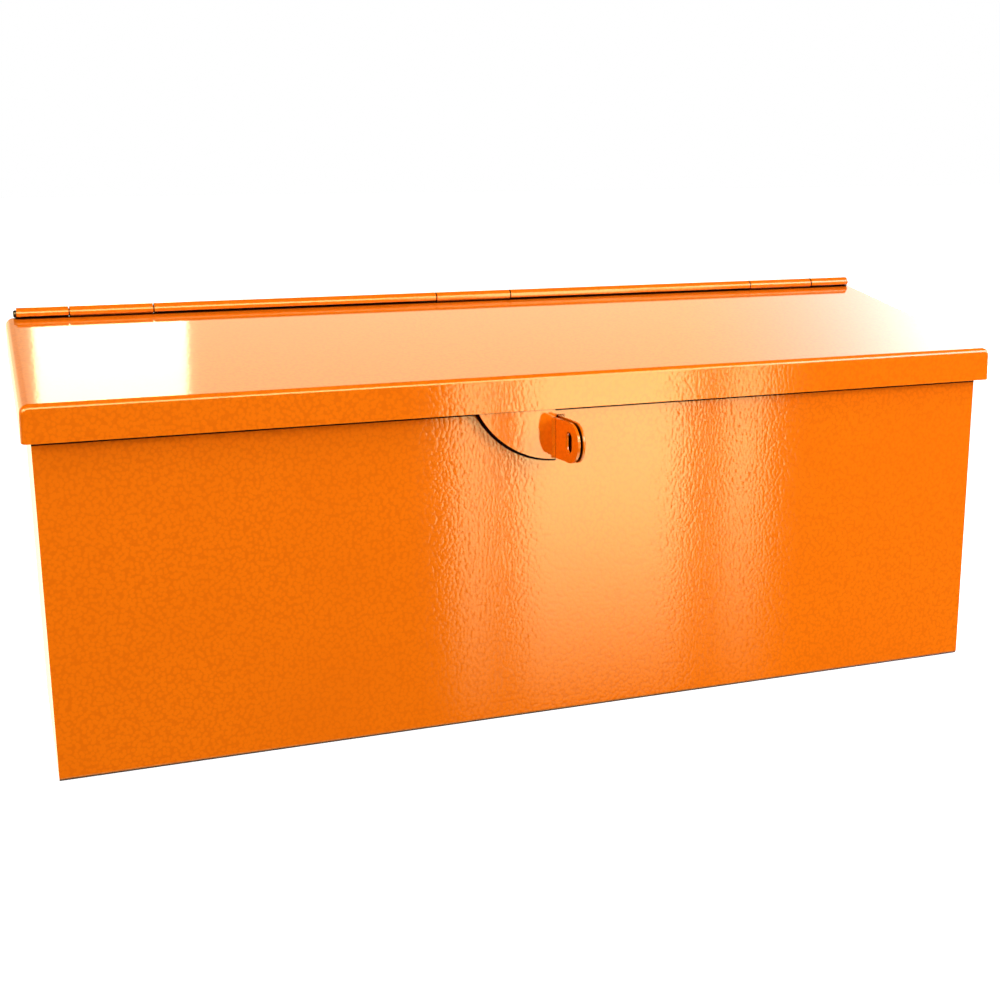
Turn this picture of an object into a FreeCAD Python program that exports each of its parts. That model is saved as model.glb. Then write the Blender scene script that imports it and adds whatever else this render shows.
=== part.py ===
"""Wall letter box in bent sheet steel: an open-topped case, a sloping lid that turns on a rolled
wire hinge along the top of the back, and a pair of hasp ears for a small padlock.

Frame: millimetres, +Z up, the front faces -Y, X runs along the box.  The origin is the centre of
the bounding box, on the plane that the base stands on."""

import math
import os

import FreeCAD
import Part

Vector = FreeCAD.Vector
INCH = 25.4

# Driving dimensions
BODY_WIDTH = 15 * INCH          # outside of one end panel to the other
BODY_DEPTH = 4 * INCH           # front face to wall face
LID_FRONT_HEIGHT = 136.0        # sharp corner of the lid's top and its front skirt
LID_SLOPE = math.radians(10.5)  # lid falls towards the front
SKIRT_REACH = 5.85              # outer face of the front skirt, forward of the front panel
SKIRT_BOTTOM_FRONT = 122.9      # lower edge of the skirt at the front
SKIRT_BOTTOM_REAR = 142.2       # lower edge of the side skirts at the back
LID_SIDE_FRONT = 3.0            # side skirt beyond the end panel, at the front
LID_SIDE_REAR = 3.85            # the same at the back, where the skirt springs out a little
SKIRT_FLARE = 0.02              # outward lean of a side skirt per unit of drop

SHEET = 0.8                     # steel sheet of case and lid
PLATE = 1.0                     # steel plate of the hasp
CASE_BEND = 1.0                 # inside radius of the case's bends
LID_FRONT_BEND = 2.0            # outside radius round the front skirt's top and ends
LID_SIDE_BEND = 3.2             # outside radius, top to side skirts
END_PANEL_BEND = 1.2            # outside radius of the end panels' flanges
END_PANEL_TOE = 2.0             # outside radius where they sit in the case's bottom front bend
FLANGE = 11.0                   # width of the flanges that the case is spot-welded through
HEM_HEIGHT = 8.0                # folded safety edge along the top of the front panel
HEM_GAP = 0.3                   # inside radius of that fold
HEM_OVERLAP = 1.0               # straight run past the fold, inside the front panel
FLANGE_RELIEF = 1.0             # from the hem's and the base flange's ends to the end panels' flanges
LID_REST_GAP = 0.5              # paint and clearance between the case's rim and the lid

# Hinge
PIN_RADIUS = 1.5
PIN_CLEARANCE = 0.08            # radial, pin to rolled knuckle
ROLL_INNER = PIN_RADIUS + PIN_CLEARANCE
ROLL_OUTER = ROLL_INNER + SHEET
CASE_ROLL_TURN = 306.0          # degrees that the back's top edge goes round the pin
LID_ROLL_TURN = 284.0           # the lid's rear edge stops short, which leaves a gap above the lid
NOTCH_RADIUS = ROLL_OUTER + 0.6  # notch that each sheet leaves for the other one's knuckles
KNUCKLE_GAP = 0.5
END_KNUCKLE = 20.2
SIDE_TAB = 33.0
LONG_KNUCKLE = 120.0
CENTRE_TAB = 34.2
PIN_STAND_OUT = 1.0             # domed pin end beyond the last knuckle
PIN_DOME = 0.8                  # rounding of the pin's ends

# Hasp
TONGUE_RADIUS = 35.4            # round edge of the lid's tongue
TONGUE_CENTRE_X = -1.8
TONGUE_CENTRE_Z = 139.1
TONGUE_TOP = 133.0
LID_EAR_X = -3.42               # left face of the lid's ear at its fold
LID_EAR_LEAN = math.radians(4.0)
CASE_EAR_X = 0.05               # left face of the case's ear
EAR_RADIUS = 7.6
EAR_CENTRE_Z = 111.9
EAR_CENTRE_REACH = 17.3         # centre of the round end, forward of the front panel
EAR_SLOT_WIDTH = 4.8
EAR_SLOT_HEIGHT = 8.0
EAR_FOLD = 1.2                  # inside radius where the lid's ear turns out of its tongue
CASE_EAR_FLANGE = 22.0
CASE_EAR_FLANGE_HEIGHT = 26.0
CASE_EAR_FLANGE_CORNER = 4.0
FRONT_SLOT_LEFT = -0.25
FRONT_SLOT_RIGHT = 3.4
FRONT_SLOT_BOTTOM = 103.6
FRONT_SLOT_TOP = 119.8

# Wall screws
SCREW_SPACING_X = 12 * INCH
SCREW_SPACING_Z = 3 * INCH
SCREW_HEIGHT = 76.2             # centre of the pattern above the base
SCREW_RADIUS = 3.0

# Worked out
HALF_WIDTH = BODY_WIDTH / 2
EAR_REACH = EAR_CENTRE_REACH + EAR_RADIUS
WALL_Y = (BODY_DEPTH + EAR_REACH) / 2
FRONT_Y = WALL_Y - BODY_DEPTH
SKIRT_Y = FRONT_Y - SKIRT_REACH
AXIS_Y = WALL_Y - ROLL_OUTER
BIG = 600.0                     # larger than the box, for cutting tools
PAST = 1.0                      # how far a cutting tool passes the faces that it cuts
OPEN_REAR = 10.0                # how far the hollow under the lid passes its rear edge
TOUCHING = 1e-6                 # points nearer than this lie on the same face


def lid_top(y):
    """Height of the lid's top face at y."""
    return LID_FRONT_HEIGHT + (y - SKIRT_Y) * math.tan(LID_SLOPE)


AXIS_Z = lid_top(AXIS_Y) + ROLL_INNER / math.cos(LID_SLOPE)
LID_REAR_Y = AXIS_Y + ROLL_INNER * math.sin(LID_SLOPE)
SHEET_DROP = SHEET / math.cos(LID_SLOPE)


def rim_top(y):
    """Height of the case's rim, just under the lid."""
    return lid_top(y) - SHEET_DROP - LID_REST_GAP


def box(x0, x1, y0, y1, z0, z1):
    return Part.makeBox(x1 - x0, y1 - y0, z1 - z0, Vector(x0, y0, z0))


def x_cylinder(radius, x0, x1, y, z):
    return Part.makeCylinder(radius, x1 - x0, Vector(x0, y, z), Vector(1, 0, 0))


def unit(angle):
    return math.cos(angle), math.sin(angle)


def bent_sheet(start, heading, moves, thickness, place):
    """Cross-section face of a bent sheet.

    It follows the sheet's middle line from start at heading degrees.  A move is ("run", length)
    or ("bend", degrees, inside radius), with positive degrees turning left.  place turns a
    point of the section into a point in space."""
    left, right = [], []
    a, b = start
    angle = math.radians(heading)
    half = thickness / 2

    def at(side, ca, cb, turn):
        ux, uy = unit(turn)
        return place(ca + side * ux, cb + side * uy)

    for move in moves:
        normal = angle + math.pi / 2
        if move[0] == "run":
            ux, uy = unit(angle)
            a2, b2 = a + move[1] * ux, b + move[1] * uy
            for side, edges in ((half, left), (-half, right)):
                edges.append(Part.LineSegment(at(side, a, b, normal), at(side, a2, b2, normal)))
            a, b = a2, b2
            continue
        turn = math.radians(move[1])
        sign = math.copysign(1.0, turn)
        middle = move[2] + half
        nx, ny = unit(normal)
        ca, cb = a + sign * middle * nx, b + sign * middle * ny
        first = normal + (math.pi if sign > 0 else 0.0)
        for side, edges in ((half, left), (-half, right)):
            radius = middle - sign * side
            points = [at(radius, ca, cb, first + turn * part) for part in (0.0, 0.5, 1.0)]
            edges.append(Part.Arc(*points))
        ux, uy = unit(first + turn)
        a, b = ca + middle * ux, cb + middle * uy
        angle += turn
    near_end = Part.makeLine(left[0].StartPoint, right[0].StartPoint)
    far_end = Part.makeLine(left[-1].EndPoint, right[-1].EndPoint)
    edges = [curve.toShape() for curve in left + right] + [near_end, far_end]
    return Part.Face(Part.Wire(Part.__sortEdges__(edges)))


def in_yz(x):
    return lambda a, b: Vector(x, a, b)


def hexahedron(corners):
    """Solid from eight corners: four round the bottom, then the four above them."""
    points = [Vector(*corner) for corner in corners]
    loops = [(3, 2, 1, 0), (4, 5, 6, 7), (0, 1, 5, 4), (1, 2, 6, 5), (2, 3, 7, 6), (3, 0, 4, 7)]
    faces = [Part.Face(Part.makePolygon([points[i] for i in loop + loop[:1]])) for loop in loops]
    solid = Part.makeSolid(Part.makeShell(faces))
    if solid.Volume < 0:
        solid.reverse()
    return solid


def edges_where(solid, test):
    """Straight edges whose two ends both pass the test."""
    return [edge for edge in solid.Edges if all(test(v.Point) for v in edge.Vertexes)]


def knuckle_spans(owner):
    """X ranges of the knuckles that belong to the lid or to the case."""
    lengths = [END_KNUCKLE, SIDE_TAB, LONG_KNUCKLE, CENTRE_TAB, LONG_KNUCKLE, SIDE_TAB, END_KNUCKLE]
    x = -sum(lengths) / 2
    spans = []
    for number, length in enumerate(lengths):
        if (number % 2 == 0) == (owner == "lid"):
            spans.append((x + KNUCKLE_GAP / 2, x + length - KNUCKLE_GAP / 2))
        x += length
    return spans


def roll_half_width():
    return END_KNUCKLE + SIDE_TAB + LONG_KNUCKLE + CENTRE_TAB / 2


def notches(owner):
    """Cutters that clear one sheet away from the other one's knuckles."""
    cutters = []
    for x0, x1 in knuckle_spans(owner):
        cutters.append(x_cylinder(NOTCH_RADIUS, x0 - KNUCKLE_GAP, x1 + KNUCKLE_GAP, AXIS_Y, AXIS_Z))
    return cutters


def front_and_base_sheet():
    """Front panel with a folded top edge, and the base with an upturned rear flange."""
    half = SHEET / 2
    top = rim_top(FRONT_Y)
    fold = HEM_GAP + SHEET
    start_y = FRONT_Y + half + 2 * (HEM_GAP + half)
    base_run = BODY_DEPTH - 2 * SHEET - 2 * CASE_BEND - SHEET
    panel_moves = [
        ("run", top - fold - CASE_BEND - SHEET),
        ("bend", 90, CASE_BEND),
        ("run", base_run),
    ]
    panel = bent_sheet((FRONT_Y + half, top - fold), 270, panel_moves, SHEET, in_yz(-HALF_WIDTH))
    panel = panel.extrude(Vector(BODY_WIDTH, 0, 0))
    inner = HALF_WIDTH - FLANGE - FLANGE_RELIEF
    hem_moves = [("run", HEM_HEIGHT - fold), ("bend", 180, HEM_GAP), ("run", HEM_OVERLAP)]
    hem = bent_sheet((start_y, top - HEM_HEIGHT), 90, hem_moves, SHEET, in_yz(-inner))
    hem = hem.extrude(Vector(2 * inner, 0, 0))
    flange_y = FRONT_Y + SHEET + CASE_BEND + base_run
    flange_moves = [("bend", 90, CASE_BEND), ("run", FLANGE - CASE_BEND)]
    flange = bent_sheet((flange_y, half), 0, flange_moves, SHEET, in_yz(-inner))
    flange = flange.extrude(Vector(2 * inner, 0, 0))
    slot = box(
        FRONT_SLOT_LEFT, FRONT_SLOT_RIGHT, FRONT_Y - PAST, FRONT_Y + SHEET + HEM_GAP,
        FRONT_SLOT_BOTTOM, FRONT_SLOT_TOP,
    )
    return panel.fuse([hem, flange]).cut(slot).removeSplitter()


def back_panel():
    """Flat back with four screw holes, its top edge rolled into the case's three knuckles."""
    half = SHEET / 2
    moves = [("run", AXIS_Z), ("bend", CASE_ROLL_TURN, ROLL_INNER)]
    sheet = bent_sheet((WALL_Y - half, 0.0), 90, moves, SHEET, in_yz(-HALF_WIDTH))
    panel = sheet.extrude(Vector(BODY_WIDTH, 0, 0))
    ends = [
        x_cylinder(NOTCH_RADIUS, roll_half_width() - PAST, BIG, AXIS_Y, AXIS_Z),
        x_cylinder(NOTCH_RADIUS, -BIG, PAST - roll_half_width(), AXIS_Y, AXIS_Z),
    ]
    holes = []
    for x in (-SCREW_SPACING_X / 2, SCREW_SPACING_X / 2):
        for z in (SCREW_HEIGHT - SCREW_SPACING_Z / 2, SCREW_HEIGHT + SCREW_SPACING_Z / 2):
            hole_start = Vector(x, WALL_Y - SHEET - PAST, z)
            holes.append(Part.makeCylinder(SCREW_RADIUS, SHEET + 2 * PAST, hole_start, Vector(0, 1, 0)))
    return panel.cut(notches("lid") + ends + holes).removeSplitter()


def end_panel_block(inset, depth):
    """Block as deep as the end panel's flanges, or the hollow inside it."""
    outer = HALF_WIDTH - inset
    inner = HALF_WIDTH - depth
    y0 = FRONT_Y + SHEET + inset
    y1 = WALL_Y - SHEET - inset
    z0 = SHEET + inset
    drop = inset / math.cos(LID_SLOPE)
    ring = [(inner, y0), (outer, y0), (outer, y1), (inner, y1)]
    bottom = [(x, y, z0) for x, y in ring]
    top = [(x, y, rim_top(y) - drop) for x, y in ring]
    block = hexahedron(bottom + top)
    toe = edges_where(block, lambda p: abs(p.y - y0) < TOUCHING and abs(p.z - z0) < TOUCHING)
    block = block.makeFillet(END_PANEL_TOE - inset, toe)
    rim = edges_where(block, lambda p: abs(p.x - outer) < TOUCHING)
    return block.makeFillet(END_PANEL_BEND - inset, rim)


def right_end_panel():
    """Pressed end: a flat plate with flanges turned inwards all round."""
    return end_panel_block(0.0, FLANGE).cut(end_panel_block(SHEET, FLANGE + SHEET))


def left_end_panel():
    return right_end_panel().mirror(Vector(0, 0, 0), Vector(1, 0, 0))


def lid_block(inset, extra):
    """Solid lid, or the hollow under it when inset is the sheet's thickness."""
    front = SKIRT_Y + inset
    rear = LID_REAR_Y + extra
    drop = inset / math.cos(LID_SLOPE)
    bottom_slope = (SKIRT_BOTTOM_REAR - SKIRT_BOTTOM_FRONT) / (LID_REAR_Y - SKIRT_Y)
    toe_out = (LID_SIDE_REAR - LID_SIDE_FRONT) / (LID_REAR_Y - SKIRT_Y)

    def half_width(y, z):
        beyond = LID_SIDE_FRONT + toe_out * (y - SKIRT_Y) + SKIRT_FLARE * (lid_top(y) - z)
        return HALF_WIDTH + beyond - inset

    bottom, top = [], []
    for y, side in ((front, -1), (front, 1), (rear, 1), (rear, -1)):
        z_low = SKIRT_BOTTOM_FRONT + bottom_slope * (y - SKIRT_Y) - extra
        z_high = lid_top(y) - drop
        bottom.append((side * half_width(y, z_low), y, z_low))
        top.append((side * half_width(y, z_high), y, z_high))
    block = hexahedron(bottom + top)

    def near_top(p):
        return abs(p.z - lid_top(p.y) + drop) < TOUCHING

    def near_front(p):
        return abs(p.y - front) < TOUCHING

    side_edges = [
        edge for side in (-1, 1)
        for edge in edges_where(block, lambda p: near_top(p) and p.x * side > 0)
    ]
    block = block.makeFillet(LID_SIDE_BEND - inset, side_edges)
    skirt_edges = [
        edge for edge in edges_where(block, near_front)
        if edge.BoundBox.ZMax > SKIRT_BOTTOM_FRONT + PAST
    ]
    return block.makeFillet(LID_FRONT_BEND - inset, skirt_edges)


def lid_panel():
    """Sloping top with a front skirt and side skirts, and a rear edge rolled into knuckles."""
    shell = lid_block(0.0, 0.0).cut(lid_block(SHEET, OPEN_REAR))
    middle = ROLL_INNER + SHEET / 2
    lead_in = ROLL_OUTER
    start_y = AXIS_Y + middle * math.sin(LID_SLOPE) - lead_in * math.cos(LID_SLOPE)
    start_z = AXIS_Z - middle * math.cos(LID_SLOPE) - lead_in * math.sin(LID_SLOPE)
    curls = []
    for x0, x1 in knuckle_spans("lid"):
        moves = [("run", lead_in), ("bend", LID_ROLL_TURN, ROLL_INNER)]
        curl = bent_sheet((start_y, start_z), math.degrees(LID_SLOPE), moves, SHEET, in_yz(x0))
        curls.append(curl.extrude(Vector(x1 - x0, 0, 0)))
    return shell.cut(notches("case")).fuse(curls).removeSplitter()


def ear_outline(reach, base_y):
    """Ear in the YZ plane: a straight root and a round end, with an upright shackle slot."""
    low, high = EAR_CENTRE_Z - EAR_RADIUS, EAR_CENTRE_Z + EAR_RADIUS
    edges = [
        Part.LineSegment(Vector(0, base_y, high), Vector(0, reach, high)).toShape(),
        Part.Arc(
            Vector(0, reach, high), Vector(0, reach - EAR_RADIUS, EAR_CENTRE_Z), Vector(0, reach, low)
        ).toShape(),
        Part.LineSegment(Vector(0, reach, low), Vector(0, base_y, low)).toShape(),
        Part.LineSegment(Vector(0, base_y, low), Vector(0, base_y, high)).toShape(),
    ]
    return Part.Face(Part.Wire(edges))


def shackle_slot(y, x0, x1):
    """Cutter for the slot: an upright rectangle with round ends."""
    half = EAR_SLOT_WIDTH / 2
    middle = EAR_SLOT_HEIGHT / 2 - half
    core = box(x0, x1, y - half, y + half, EAR_CENTRE_Z - middle, EAR_CENTRE_Z + middle)
    ends = [x_cylinder(half, x0, x1, y, EAR_CENTRE_Z + side * middle) for side in (-1, 1)]
    return core.fuse(ends)


def ear_fold(front):
    """Inside radius of the fold between the tongue's front face and the lid's ear."""
    low, high = EAR_CENTRE_Z - EAR_RADIUS, EAR_CENTRE_Z + EAR_RADIUS
    x, y = LID_EAR_X - EAR_FOLD, front - EAR_FOLD
    corner = box(x, LID_EAR_X + PLATE / 2, y, front + PLATE / 2, low, high)
    hollow = Part.makeCylinder(EAR_FOLD, high - low, Vector(x, y, low))
    return corner.cut(hollow)


def lid_hasp():
    """Tongue welded behind the front skirt; its right edge turns out into the lid's ear."""
    front = SKIRT_Y + SHEET
    disc = Part.makeCylinder(
        TONGUE_RADIUS, PLATE, Vector(TONGUE_CENTRE_X, front, TONGUE_CENTRE_Z), Vector(0, 1, 0)
    )
    root_x = LID_EAR_X + PLATE / 2
    keep = box(-BIG, root_x, front - PAST, front + PLATE + PAST, 0, TONGUE_TOP)
    tongue = disc.common(keep)
    ear_centre_y = FRONT_Y - EAR_CENTRE_REACH
    ear = ear_outline(ear_centre_y, front + PLATE).extrude(Vector(PLATE, 0, 0))
    ear = ear.cut(shackle_slot(ear_centre_y, -PAST, PLATE + PAST))
    lean = FreeCAD.Rotation(Vector(0, 0, 1), math.degrees(LID_EAR_LEAN))
    pivot = Vector(0, front + PLATE, 0)
    ear.Placement = FreeCAD.Placement(Vector(LID_EAR_X, 0, 0), lean, pivot).multiply(ear.Placement)
    return tongue.fuse([ear, ear_fold(front)]).removeSplitter()


def case_hasp_ear():
    """Angle bracket welded inside the front panel; its ear comes out through the slot."""
    back = FRONT_Y + SHEET + PLATE
    ear_centre_y = FRONT_Y - EAR_CENTRE_REACH
    ear = ear_outline(ear_centre_y, back).extrude(Vector(PLATE, 0, 0))
    ear.translate(Vector(CASE_EAR_X, 0, 0))
    ear = ear.cut(shackle_slot(ear_centre_y, CASE_EAR_X - PAST, CASE_EAR_X + PLATE + PAST))
    half = CASE_EAR_FLANGE_HEIGHT / 2
    right = CASE_EAR_X + PLATE
    flange = box(
        right - CASE_EAR_FLANGE, right, back - PLATE, back, EAR_CENTRE_Z - half, EAR_CENTRE_Z + half
    )
    corners = [
        edge for edge in flange.Edges
        if edge.BoundBox.YLength > PLATE / 2 and edge.BoundBox.XMax < CASE_EAR_X - PAST
    ]
    flange = flange.makeFillet(CASE_EAR_FLANGE_CORNER, corners)
    return ear.fuse(flange).removeSplitter()


def hinge_pin():
    """Straight wire through every knuckle, with domed ends."""
    end = roll_half_width() + PIN_STAND_OUT
    pin = x_cylinder(PIN_RADIUS, -end, end, AXIS_Y, AXIS_Z)
    rims = [edge for edge in pin.Edges if edge.BoundBox.XLength < PIN_DOME]
    return pin.makeFillet(PIN_DOME, rims)


NODES = {
    "front_and_base_sheet": front_and_base_sheet,
    "back_panel": back_panel,
    "left_end_panel": left_end_panel,
    "right_end_panel": right_end_panel,
    "case_hasp_ear": case_hasp_ear,
    "hinge_pin": hinge_pin,
    "lid_panel": lid_panel,
    "lid_hasp_tongue": lid_hasp,
}

os.makedirs("parts", exist_ok=True)
for name, build in NODES.items():
    shape = build()
    solids = len(shape.Solids)
    print(name, "valid", shape.isValid(), "solids", solids, "volume", round(shape.Volume, 1))
    shape.exportStep(f"parts/{name}.step")
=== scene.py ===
"""Looks for the wall letter box: glossy orange powder coat with a pebbled skin, on bent steel sheet.

Metres, in the row frame: +Z up, the front faces -Y, X runs along the box.
Each visible piece is a copy of its CAD node with the paint's rounded edges."""

import math

import bmesh
import bpy
from mathutils import Matrix, Vector


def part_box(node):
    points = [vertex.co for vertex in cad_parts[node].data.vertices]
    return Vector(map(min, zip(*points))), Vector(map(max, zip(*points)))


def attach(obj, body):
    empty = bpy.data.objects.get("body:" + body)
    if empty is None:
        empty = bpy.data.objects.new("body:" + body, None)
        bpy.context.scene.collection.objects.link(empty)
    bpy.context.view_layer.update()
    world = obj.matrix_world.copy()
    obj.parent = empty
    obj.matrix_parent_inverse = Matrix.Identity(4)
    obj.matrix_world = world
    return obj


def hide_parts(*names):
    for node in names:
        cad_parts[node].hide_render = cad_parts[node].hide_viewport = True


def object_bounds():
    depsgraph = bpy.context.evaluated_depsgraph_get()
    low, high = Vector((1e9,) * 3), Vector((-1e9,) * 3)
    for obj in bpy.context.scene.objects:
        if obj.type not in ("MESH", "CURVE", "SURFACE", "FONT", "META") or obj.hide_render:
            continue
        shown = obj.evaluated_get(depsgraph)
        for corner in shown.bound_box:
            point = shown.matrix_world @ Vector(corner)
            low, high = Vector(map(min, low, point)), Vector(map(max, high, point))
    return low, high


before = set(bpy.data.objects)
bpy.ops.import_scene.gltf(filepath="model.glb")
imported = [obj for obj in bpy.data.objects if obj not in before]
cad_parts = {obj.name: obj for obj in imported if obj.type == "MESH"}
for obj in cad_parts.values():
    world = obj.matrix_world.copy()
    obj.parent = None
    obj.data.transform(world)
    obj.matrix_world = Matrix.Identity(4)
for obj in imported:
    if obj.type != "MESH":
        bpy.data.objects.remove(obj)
cad_low, cad_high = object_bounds()

MM = 0.001
scene = bpy.context.scene

# Paint, as scene-linear colours
ORANGE = (0.86, 0.170, 0.0025, 1.0)
DEEP_ORANGE = (0.66, 0.105, 0.0015, 1.0)
# Painted shade: a slightly darker orange in each pebble's hollow
HOLLOW_SHADE_ORANGE = (0.77, 0.143, 0.0021, 1.0)
# Painted shade: near-black colour put into crevices and gaps, and into the painted shadow on the case's
# front
SHADE_BLACK = (0.010, 0.005, 0.003, 1.0)
PAINT_IOR = 1.5
PAINT_SPECULAR = 0.5
PAINT_ROUGHNESS = (0.05, 0.085)
SHEET_WAVE = 70 * MM            # width of the slow changes of colour and gloss
WAVE_SPAN = (0.2, 0.6)          # the noise's values over which the colour changes
LEAST_ORANGE = 0.75             # share of the full orange where the paint is deepest

PEBBLE_PITCH = 1.4 * MM
PEBBLE_DEPTH = 0.015 * MM
HASP_PEBBLES = 0.45             # depth left on the small hasp pieces
LEVEL_PEBBLES = 0.30            # depth left on level faces, where the powder flowed out as it baked
LEVEL_SPAN = (0.5, 0.9)         # a face counts as level as its normal's z grows over this
CREASE_SPAN = (0.15, 0.50)      # how far from a pebble's middle the painted shade of its hollow starts and is full
GRAIN_PITCH = 0.5 * MM
GRAIN_DEPTH = 0.001 * MM

CREVICE = 3.0 * MM              # how near other metal has to be for painted shade on the paint
CREVICE_SPAN = (0.38, 0.80)     # open share of the air at which the painted shade is full, and at which it is gone

# Steel wire of the hinge pin; its colours are far darker than real steel, as painted shade for the knuckle
# gaps
SHADED_STEEL = (0.10, 0.085, 0.07, 1.0)
DEEPER_SHADED_STEEL = (0.025, 0.015, 0.010, 1.0)
WIRE_ROUGHNESS = (0.25, 0.5)
WIRE_STREAKS = (60, 2500, 2500)     # per metre, along the wire and across it

# Rounded edges of the painted copies
SHEET_EDGE = 0.25 * MM
LID_EDGE = 0.34 * MM
TONGUE_EDGE = 0.30 * MM
EAR_EDGE = 0.38 * MM
PIN_EDGE = 0.05 * MM
EDGE_SEGMENTS = 4
SAME_POINT = 1e-6               # mesh points nearer than this are one point
FLAT_BEND = math.radians(0.6)   # faces that meet at less than this are one face
SHARP_BEND = math.radians(48)   # edges sharper than this are rounded

# Painted shadow on the case's front, under the lid's skirt and round its tongue
front_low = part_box("front_and_base_sheet")[0]
lid_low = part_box("lid_panel")[0]
tongue_low, tongue_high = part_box("lid_hasp_tongue")
TONGUE_RADIUS = 35.4 * MM
SHADOW_RING_RADIUS = TONGUE_RADIUS + 0.9 * MM
SHADOW_BAND = 1.9 * MM           # width of the band round the tongue
SHADOW_LINE = (1.4 * MM, 0.5 * MM)   # the line's lower and upper edge, below the skirt
tongue_centre_z = tongue_low.z + TONGUE_RADIUS
tongue_half_width = math.sqrt(TONGUE_RADIUS ** 2 - (tongue_centre_z - tongue_high.z) ** 2)
SHADOW_CENTRE = (tongue_low.x + tongue_half_width + 1.0 * MM, 0.0, tongue_centre_z - 0.6 * MM)

# Camera
CAMERA_PLACE = (-0.1988, -0.5277, 0.2074)
CAMERA_TURN = math.radians(-19.70)
CAMERA_TILT = math.radians(-12.894)
CAMERA_ROLL = math.radians(0.561)
LENS = 50.56                    # for a sensor of 36 mm
SENSOR = 36.0

# Light
WHITE = (1.0, 1.0, 1.0, 1.0)
WARM = (1.0, 0.86, 0.50, 1.0)       # colour of the sweep behind
GOLD = (1.0, 0.84, 0.38, 1.0)       # colour of the windows in front
NEUTRAL = (1.0, 0.96, 0.90, 1.0)    # colour of the lamps
PAPER = (0.9, 0.9, 0.9, 1.0)
AMBIENT = 0.90                  # radiance of the room's soft light, which comes from the front
SWEEP_RADIANCE = 2.1            # of the lit sweep behind the box, as its gloss mirrors it
FRONT_RADIANCE = 16.0           # of the bright strip of wall in front, above the windows
TABLE_RADIANCE = 3.5            # of the lit table straight below
ROOM_RADIANCE = 0.03            # of everything else, mostly the dark room in front
FLOOR_GLOW = 0.80
FLOOR_HALF = 20.0
FLOOR_DROP = 0.1 * MM           # the floor lies this far below the base
UNIFORM = (-2.0, -1.0)          # a fade that is over before the card begins


def new_material(name):
    material = bpy.data.materials.new(name)
    material.use_nodes = True
    material.node_tree.nodes.clear()
    return material, material.node_tree


def add(tree, kind, **settings):
    """A node with its properties and input values set by name."""
    node = tree.nodes.new(kind)
    for key, value in settings.items():
        if hasattr(node, key):
            setattr(node, key, value)
        else:
            node.inputs[key.replace("_", " ").title()].default_value = value
    return node


def feed(tree, socket, value):
    """Links another node's output to a socket, or sets the socket to a plain value."""
    if isinstance(value, bpy.types.NodeSocket):
        tree.links.new(value, socket)
    else:
        socket.default_value = value


def ramp(tree, value, span, ends=(0.0, 1.0), kind="SMOOTHSTEP"):
    """Goes from the first of ends to the second as value goes over span."""
    node = add(tree, "ShaderNodeMapRange", interpolation_type=kind)
    for name, limit in zip(("From Min", "From Max", "To Min", "To Max"), (*span, *ends)):
        feed(tree, node.inputs[name], limit)
    tree.links.new(value, node.inputs["Value"])
    return node.outputs["Result"]


def maths(tree, operation, *values, clamp=False):
    node = add(tree, "ShaderNodeMath", operation=operation, use_clamp=clamp)
    for socket, value in zip(node.inputs, values):
        feed(tree, socket, value)
    return node.outputs[0]


def product(tree, first, *others):
    for other in others:
        first = maths(tree, "MULTIPLY", first, other)
    return first


def mixed(tree, first, second, share):
    """A colour that goes from first to second as share goes from 0 to 1."""
    node = add(tree, "ShaderNodeMix", data_type="RGBA")
    feed(tree, node.inputs["A"], first)
    feed(tree, node.inputs["B"], second)
    feed(tree, node.inputs["Factor"], share)
    return node.outputs["Result"]


def finish_surface(tree, shader):
    output = add(tree, "ShaderNodeOutputMaterial")
    tree.links.new(shader.outputs[0], output.inputs["Surface"])


def pebbles(tree, coords, place, depth):
    """Bump from domed paint cells with a fine grain over them, flatter on level faces; and the hollows."""
    split = add(tree, "ShaderNodeSeparateXYZ")
    tree.links.new(coords.outputs["Normal"], split.inputs["Vector"])
    levelled = ramp(tree, split.outputs["Z"], LEVEL_SPAN, (1.0, LEVEL_PEBBLES))
    cells = add(tree, "ShaderNodeTexVoronoi", feature="F1", scale=1 / PEBBLE_PITCH)
    tree.links.new(place, cells.inputs["Vector"])
    hollows = maths(tree, "POWER", cells.outputs["Distance"], 2.0)
    domes = add(tree, "ShaderNodeBump", invert=True, distance=depth)
    tree.links.new(hollows, domes.inputs["Height"])
    tree.links.new(levelled, domes.inputs["Strength"])
    grain = add(tree, "ShaderNodeTexNoise", scale=1 / GRAIN_PITCH, detail=2.0)
    tree.links.new(place, grain.inputs["Vector"])
    fine = add(tree, "ShaderNodeBump", strength=1.0, distance=GRAIN_DEPTH)
    tree.links.new(grain.outputs["Fac"], fine.inputs["Height"])
    tree.links.new(domes.outputs["Normal"], fine.inputs["Normal"])
    return fine.outputs["Normal"], hollows


def band(tree, value, low, high, soft):
    """1 between low and high, falling to 0 over soft beyond each."""
    rise = ramp(tree, value, (low - soft, low), kind="LINEAR")
    return ramp(tree, value, (high + soft, high), (0.0, rise), kind="LINEAR")


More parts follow.
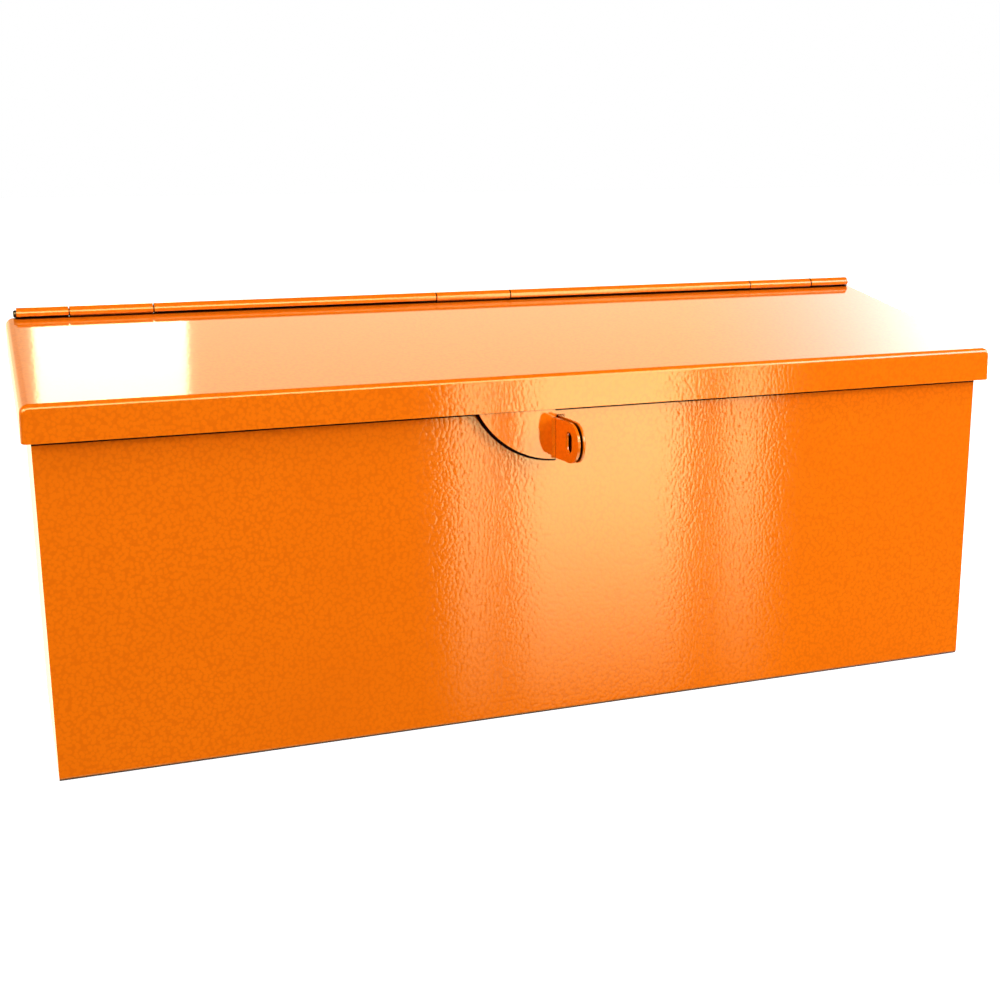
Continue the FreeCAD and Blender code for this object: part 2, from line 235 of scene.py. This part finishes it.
def painted_shadow_mask(tree, coords):
    """1 where shadow is painted on the front: a line under the lid's skirt, a band round its tongue."""
    split = add(tree, "ShaderNodeSeparateXYZ")
    tree.links.new(coords.outputs["Object"], split.inputs["Vector"])
    flat = add(tree, "ShaderNodeCombineXYZ")
    tree.links.new(split.outputs["X"], flat.inputs["X"])
    tree.links.new(split.outputs["Z"], flat.inputs["Z"])
    reach = add(tree, "ShaderNodeVectorMath", operation="DISTANCE")
    tree.links.new(flat.outputs["Vector"], reach.inputs[0])
    reach.inputs[1].default_value = SHADOW_CENTRE

    lower, upper = SHADOW_LINE
    under_skirt = band(tree, split.outputs["Z"], lid_low.z - lower, lid_low.z - upper, 0.25 * MM)
    inner = SHADOW_RING_RADIUS - SHADOW_BAND
    round_tongue = band(tree, reach.outputs["Value"], inner, SHADOW_RING_RADIUS, 0.3 * MM)
    left_of_ears = band(tree, split.outputs["X"], front_low.x, tongue_high.x, 0.3 * MM)
    on_front = band(tree, split.outputs["Y"], front_low.y - 1 * MM, front_low.y + 0.1 * MM, 0.1 * MM)
    beside_tongue = product(tree, round_tongue, left_of_ears)
    return product(tree, maths(tree, "MAXIMUM", under_skirt, beside_tongue), on_front)


def powder_coat(name, depth, offset, with_painted_shadow=False):
    """Glossy orange paint: pebbled skin, slow changes of colour and gloss; painted shade in crevices and
    in the pebbles' hollows, and, on the case, a painted shadow under the lid's skirt and round its tongue.
    """
    material, tree = new_material(name)
    coords = add(tree, "ShaderNodeTexCoord")
    shifted = add(tree, "ShaderNodeMapping")
    shifted.inputs["Location"].default_value = (offset, offset, offset)
    tree.links.new(coords.outputs["Object"], shifted.inputs["Vector"])
    place = shifted.outputs["Vector"]

    cloud = add(tree, "ShaderNodeTexNoise", scale=1 / SHEET_WAVE, detail=3.0)
    tree.links.new(place, cloud.inputs["Vector"])
    wave = ramp(tree, cloud.outputs["Fac"], WAVE_SPAN, (LEAST_ORANGE, 1.0), "LINEAR")
    skin = mixed(tree, DEEP_ORANGE, ORANGE, wave)
    relief, hollows = pebbles(tree, coords, place, depth)
    # Painted shade: a little darker orange in each pebble's hollow
    skin = mixed(tree, skin, HOLLOW_SHADE_ORANGE, ramp(tree, hollows, CREASE_SPAN))

    # Painted shade: the paint turns near-black and loses its reflection where other metal is near, as in
    # crevices and gaps
    open_air = add(tree, "ShaderNodeAmbientOcclusion", samples=8, distance=CREVICE)
    shine = ramp(tree, open_air.outputs["AO"], CREVICE_SPAN)
    skin = mixed(tree, SHADE_BLACK, skin, shine)
    # Painted shadow: near-black, with its reflection taken away, under the lid's skirt and round its
    # tongue
    if with_painted_shadow:
        mask = painted_shadow_mask(tree, coords)
        skin = mixed(tree, skin, SHADE_BLACK, mask)
        shine = maths(tree, "SUBTRACT", shine, mask, clamp=True)

    shader = add(tree, "ShaderNodeBsdfPrincipled")
    shader.inputs["IOR"].default_value = PAINT_IOR
    tree.links.new(skin, shader.inputs["Base Color"])
    tree.links.new(maths(tree, "MULTIPLY", shine, PAINT_SPECULAR), shader.inputs["Specular IOR Level"])
    gloss = ramp(tree, cloud.outputs["Fac"], (0.0, 1.0), PAINT_ROUGHNESS, "LINEAR")
    tree.links.new(gloss, shader.inputs["Roughness"])
    tree.links.new(relief, shader.inputs["Normal"])
    finish_surface(tree, shader)
    return material


def drawn_wire():
    """Drawn steel of the hinge pin, streaked along its length, darkened as painted shade for the knuckle
    gaps.
    """
    material, tree = new_material("drawn_wire")
    coords = add(tree, "ShaderNodeTexCoord")
    stretched = add(tree, "ShaderNodeMapping")
    stretched.inputs["Scale"].default_value = WIRE_STREAKS
    tree.links.new(coords.outputs["Object"], stretched.inputs["Vector"])
    streaks = add(tree, "ShaderNodeTexNoise", scale=1.0, detail=2.0)
    tree.links.new(stretched.outputs["Vector"], streaks.inputs["Vector"])
    tone = mixed(tree, SHADED_STEEL, DEEPER_SHADED_STEEL, streaks.outputs["Fac"])
    rough = ramp(tree, streaks.outputs["Fac"], (0.0, 1.0), WIRE_ROUGHNESS, "LINEAR")
    shader = add(tree, "ShaderNodeBsdfPrincipled", metallic=1.0)
    tree.links.new(tone, shader.inputs["Base Color"])
    tree.links.new(rough, shader.inputs["Roughness"])
    finish_surface(tree, shader)
    return material


def clean_mesh(mesh):
    """Merges the triangles of flat faces, so that only real edges are left to round."""
    work = bmesh.new()
    work.from_mesh(mesh)
    bmesh.ops.remove_doubles(work, verts=work.verts, dist=SAME_POINT)
    bmesh.ops.dissolve_limit(work, angle_limit=FLAT_BEND, verts=work.verts, edges=work.edges)
    for face in work.faces:
        face.smooth = True
    work.to_mesh(mesh)
    work.free()


def painted_copy(node, body, material, edge_radius):
    """Stands for a CAD node: the same shape with flat faces merged and sharp edges rounded."""
    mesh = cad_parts[node].data.copy()
    piece = bpy.data.objects.new(node + "_painted", mesh)
    scene.collection.objects.link(piece)
    clean_mesh(mesh)
    mesh.materials.clear()
    mesh.materials.append(material)
    bevel = piece.modifiers.new("rounded_edges", "BEVEL")
    bevel.width = edge_radius
    bevel.segments = EDGE_SEGMENTS
    bevel.limit_method = "ANGLE"
    bevel.angle_limit = SHARP_BEND
    bevel.miter_outer = "MITER_ARC"
    weighted = piece.modifiers.new("flat_normals", "WEIGHTED_NORMAL")
    weighted.keep_sharp = True
    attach(piece, body)
    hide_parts(node)
    return piece


def build_pieces():
    case_paint = powder_coat("case_powder_coat", PEBBLE_DEPTH, 0.0, with_painted_shadow=True)
    lid_paint = powder_coat("lid_powder_coat", PEBBLE_DEPTH, 0.37)
    hasp_paint = powder_coat("hasp_powder_coat", PEBBLE_DEPTH * HASP_PEBBLES, 0.71)
    for node in ("front_and_base_sheet", "back_panel", "left_end_panel", "right_end_panel"):
        painted_copy(node, "case", case_paint, SHEET_EDGE)
    painted_copy("case_hasp_ear", "case", hasp_paint, EAR_EDGE)
    painted_copy("lid_panel", "lid", lid_paint, LID_EDGE)
    painted_copy("lid_hasp_tongue", "lid", hasp_paint, TONGUE_EDGE)
    painted_copy("hinge_pin", "case", drawn_wire(), PIN_EDGE)


def place_camera():
    """Stands in front of the box and left of its middle, above the lid, looking down and to the right."""
    camera = bpy.data.objects.new("camera", bpy.data.cameras.new("camera"))
    scene.collection.objects.link(camera)
    camera.data.lens = LENS
    camera.data.sensor_width = SENSOR
    camera.data.clip_start = 0.01
    turn = Matrix.Rotation(CAMERA_TURN, 4, "Z")
    tilt = Matrix.Rotation(CAMERA_TILT, 4, "X")
    roll = Matrix.Rotation(CAMERA_ROLL, 4, "Y")
    level = Matrix.Rotation(math.radians(90), 4, "X")
    camera.matrix_world = Matrix.Translation(CAMERA_PLACE) @ turn @ tilt @ roll @ level
    scene.camera = camera


def emitter(name, colour, radiance, fade):
    """Light whose strength grows from none to radiance over fade, as a share of the card's height."""
    material, tree = new_material(name)
    coords = add(tree, "ShaderNodeTexCoord")
    split = add(tree, "ShaderNodeSeparateXYZ")
    tree.links.new(coords.outputs["Generated"], split.inputs["Vector"])
    glow = add(tree, "ShaderNodeEmission")
    glow.inputs["Color"].default_value = colour
    tree.links.new(ramp(tree, split.outputs["Y"], fade, (0.0, radiance)), glow.inputs["Strength"])
    finish_surface(tree, glow)
    return material


def rectangle(name, width, height, z=0.0):
    """A flat four-cornered object in its own XY plane."""
    x, y = width / 2, height / 2
    mesh = bpy.data.meshes.new(name)
    mesh.from_pydata([(-x, -y, z), (x, -y, z), (x, y, z), (-x, y, z)], [], [(0, 1, 2, 3)])
    panel = bpy.data.objects.new(name, mesh)
    scene.collection.objects.link(panel)
    return panel


def card(name, centre, size, facing, radiance, colour=WARM, fade=UNIFORM):
    """A glowing studio card that lights and reflects but isn't itself seen by the camera."""
    panel = rectangle(name, *size)
    panel.data.materials.append(emitter(name + "_light", colour, radiance, fade))
    aim = Vector(facing).to_track_quat("Z", "Y").to_matrix().to_4x4()
    panel.matrix_world = Matrix.Translation(centre) @ aim
    panel.visible_camera = False
    panel.visible_shadow = False
    return panel


def mirrored_studio(tree, direction):
    """What the gloss shows: a lit sweep behind the box, brightest at its right, and a dark room in front.

    Zones begin and end at the given x, y or z of the direction that the gloss mirrors."""
    x, y, z = (direction.outputs[axis] for axis in "XYZ")
    behind = ramp(tree, y, (0.0, 0.3))
    below_lamps = ramp(tree, z, (0.50, 0.60), (1.0, 0.0))
    near_horizon = ramp(tree, z, (0.20, 0.34), (1.8, 1.0))
    left_falloff = ramp(tree, x, (0.0, 0.06), (0.5, 1.0))
    right_rise = maths(tree, "POWER", ramp(tree, x, (0.44, 0.62), (0.0, 1.16), "LINEAR"), 4.0)
    right_glow = maths(tree, "MULTIPLY_ADD", right_rise, 1.1, 1.0)
    sweep = product(tree, behind, below_lamps, left_falloff, right_glow, near_horizon)
    before_box = ramp(tree, y, (-0.35, -0.2), (1.0, 0.0))
    above_windows = ramp(tree, z, (0.12, 0.28))
    below_ceiling = ramp(tree, z, (0.5, 0.7), (1.0, 0.0))
    wall = product(tree, before_box, above_windows, below_ceiling)
    table = ramp(tree, z, (-0.75, -0.60), (1.0, 0.0))
    strength = ROOM_RADIANCE
    for zone, radiance in ((sweep, SWEEP_RADIANCE), (wall, FRONT_RADIANCE), (table, TABLE_RADIANCE)):
        strength = maths(tree, "MULTIPLY_ADD", zone, radiance, strength)

    golden_front = mixed(tree, GOLD, WARM, ramp(tree, y, (-0.2, 0.0)))
    colour = mixed(tree, golden_front, NEUTRAL, ramp(tree, x, (0.44, 0.60)))
    mirrored = add(tree, "ShaderNodeBackground")
    tree.links.new(colour, mirrored.inputs["Color"])
    tree.links.new(strength, mirrored.inputs["Strength"])
    return mirrored


def soft_room(tree, direction):
    """Soft light on the paint's colour: mostly from the front, some from the back, little from below."""
    y, z = (direction.outputs[axis] for axis in "YZ")
    from_front = ramp(tree, y, (-0.1, 0.2), (1.0, 0.65))
    from_above = ramp(tree, z, (-0.3, 0.1), (0.06, 1.0))
    below_top = ramp(tree, z, (0.6, 0.9), (1.0, 0.3))
    soft = add(tree, "ShaderNodeBackground")
    soft.inputs["Color"].default_value = WHITE
    strength = product(tree, from_front, from_above, below_top, AMBIENT)
    tree.links.new(strength, soft.inputs["Strength"])
    return soft


def backdrop():
    """Surroundings: white to the camera, a mirrored studio to the gloss, soft light to the rest."""
    world = bpy.data.worlds.new("studio")
    world.use_nodes = True
    scene.world = world
    tree = world.node_tree
    tree.nodes.clear()
    coords = add(tree, "ShaderNodeTexCoord")
    direction = add(tree, "ShaderNodeSeparateXYZ")
    tree.links.new(coords.outputs["Generated"], direction.inputs["Vector"])
    path = add(tree, "ShaderNodeLightPath")
    white = add(tree, "ShaderNodeBackground")
    white.inputs["Color"].default_value = WHITE
    mirrored = mirrored_studio(tree, direction)
    by_ray = soft_room(tree, direction).outputs[0]
    for flag, background in (("Is Glossy Ray", mirrored), ("Is Camera Ray", white)):
        mix = add(tree, "ShaderNodeMixShader")
        tree.links.new(path.outputs[flag], mix.inputs["Fac"])
        tree.links.new(by_ray, mix.inputs[1])
        tree.links.new(background.outputs[0], mix.inputs[2])
        by_ray = mix.outputs[0]
    output = add(tree, "ShaderNodeOutputWorld")
    tree.links.new(by_ray, output.inputs["Surface"])


def pale_floor():
    """White paper that glows a little, so that it stays as white as the backdrop."""
    floor = rectangle("floor", 2 * FLOOR_HALF, 2 * FLOOR_HALF, cad_low.z - FLOOR_DROP)
    paper, tree = new_material("pale_floor")
    diffuse = add(tree, "ShaderNodeBsdfDiffuse")
    diffuse.inputs["Color"].default_value = PAPER
    glow = add(tree, "ShaderNodeEmission", strength=FLOOR_GLOW)
    both = add(tree, "ShaderNodeAddShader")
    tree.links.new(diffuse.outputs[0], both.inputs[0])
    tree.links.new(glow.outputs[0], both.inputs[1])
    finish_surface(tree, both)
    floor.data.materials.append(paper)
    floor.visible_glossy = False
    floor.visible_diffuse = False


def front_windows():
    """Three tall panes in a wall in front, seen in the gloss only and fading in from the sill up."""
    wall_y = -1.5
    sill, head = -0.62, 1.0
    panes = [(0.43, 0.487, 9.0), (0.525, 0.815, 12.5), (0.876, 0.95, 9.0)]
    for number, (left, right, radiance) in enumerate(panes):
        centre = ((left + right) / 2, wall_y, (sill + head) / 2)
        size = (right - left, head - sill)
        pane = card(f"front_pane_{number}", centre, size, (0, 1, 0), radiance, GOLD, fade=(-0.06, 0.30))
        pane.visible_diffuse = False


def lamps():
    """Soft boxes that light the paint but don't show in its gloss."""
    key = card("key", (0.34, -0.50, 0.26), (0.3, 0.3), (-0.25, 0.5, -0.15), 9.0, NEUTRAL)
    side = card("side_fill", (-0.75, -0.45, 0.30), (0.5, 0.5), (1.0, 0.5, -0.2), 4.5, NEUTRAL)
    overhead = card("overhead", (0.0, -0.5, 1.2), (1.6, 0.5), (0, 0.4, -1.1), 2.0, NEUTRAL)
    for lamp in (key, side, overhead):
        lamp.visible_glossy = False


def studio():
    """White room, pale floor, windows and soft boxes."""
    backdrop()
    pale_floor()
    card("back_window", (0.009, 2.0, 1.15), (0.282, 0.6), (0, -1, 0), 10.0)
    front_windows()
    lamps()
    scene.view_settings.view_transform = "Standard"
    scene.view_settings.look = "None"


build_pieces()
place_camera()
studio()
